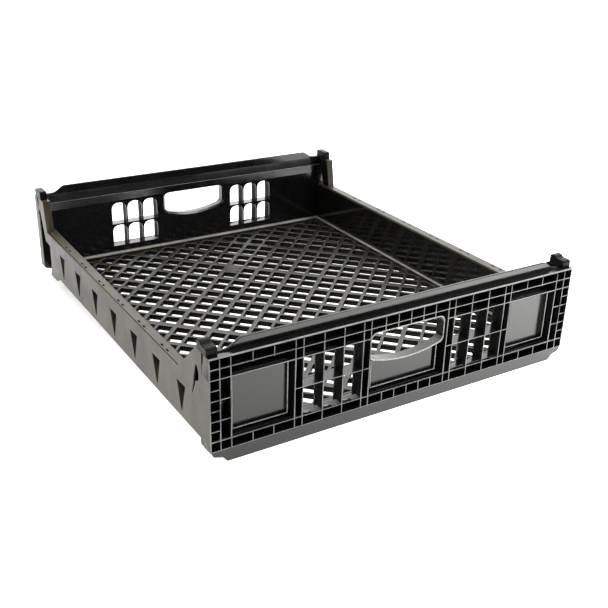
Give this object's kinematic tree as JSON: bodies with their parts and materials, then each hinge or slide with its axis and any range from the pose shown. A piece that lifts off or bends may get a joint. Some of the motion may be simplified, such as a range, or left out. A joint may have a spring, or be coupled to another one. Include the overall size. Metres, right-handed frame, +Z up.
{
  "type": "vented stacking tray",
  "caption": "Low open black plastic tray with a lattice floor, tall ribbed end walls with hand-holds and label frames, low slotted side walls and corner caps for stacking",
  "frame": {"origin": "centre of the footprint, on the surface the tray stands on", "axes": "X along the tall end walls, Y from the front end wall to the rear one, Z up"},
  "size_m": [0.5588, 0.657, 0.1524],
  "materials": {
    "end_wall_plastic": "satin black polypropylene",
    "side_wall_plastic": "dull black polypropylene with a dusty bloom",
    "floor_plastic": "black polypropylene, scuffed on the top of the bars",
    "cap_plastic": "smooth black polypropylene"
  },
  "bodies": {
    "root": {"floor_lattice": "floor_plastic", "front_base_bead": "floor_plastic", "front_handhold_rim": "end_wall_plastic", "front_label_lip_left": "end_wall_plastic", "front_label_lip_right": "end_wall_plastic", "front_left_cap": "cap_plastic", "front_left_corner_post": "side_wall_plastic", "front_left_foot": "side_wall_plastic", "front_plate_lip": "end_wall_plastic", "front_ribs_bottom": "end_wall_plastic", "front_ribs_inner_left": "end_wall_plastic", "front_ribs_inner_right": "end_wall_plastic", "front_ribs_outer_left": "end_wall_plastic", "front_ribs_outer_right": "end_wall_plastic", "front_ribs_top_left": "end_wall_plastic", "front_ribs_top_middle": "end_wall_plastic", "front_ribs_top_right": "end_wall_plastic", "front_right_cap": "cap_plastic", "front_right_corner_post": "side_wall_plastic", "front_right_foot": "side_wall_plastic", "front_skirt": "end_wall_plastic", "front_top_beam": "end_wall_plastic", "front_web_left": "end_wall_plastic", "front_web_middle": "end_wall_plastic", "front_web_right": "end_wall_plastic", "left_base_bead": "floor_plastic", "left_inner_wall": "side_wall_plastic", "left_side_rail": "side_wall_plastic", "left_side_skin": "side_wall_plastic", "rear_base_bead": "floor_plastic", "rear_handhold_rim": "end_wall_plastic", "rear_label_lip_left": "end_wall_plastic", "rear_label_lip_right": "end_wall_plastic", "rear_left_cap": "cap_plastic", "rear_left_corner_post": "side_wall_plastic", "rear_left_foot": "side_wall_plastic", "rear_plate_lip": "end_wall_plastic", "rear_ribs_bottom": "end_wall_plastic", "rear_ribs_inner_left": "end_wall_plastic", "rear_ribs_inner_right": "end_wall_plastic", "rear_ribs_outer_left": "end_wall_plastic", "rear_ribs_outer_right": "end_wall_plastic", "rear_ribs_top_left": "end_wall_plastic", "rear_ribs_top_middle": "end_wall_plastic", "rear_ribs_top_right": "end_wall_plastic", "rear_right_cap": "cap_plastic", "rear_right_corner_post": "side_wall_plastic", "rear_right_foot": "side_wall_plastic", "rear_skirt": "end_wall_plastic", "rear_top_beam": "end_wall_plastic", "rear_web_left": "end_wall_plastic", "rear_web_middle": "end_wall_plastic", "rear_web_right": "end_wall_plastic", "right_base_bead": "floor_plastic", "right_inner_wall": "side_wall_plastic", "right_side_rail": "side_wall_plastic", "right_side_skin": "side_wall_plastic"}
  },
  "joints": []
}
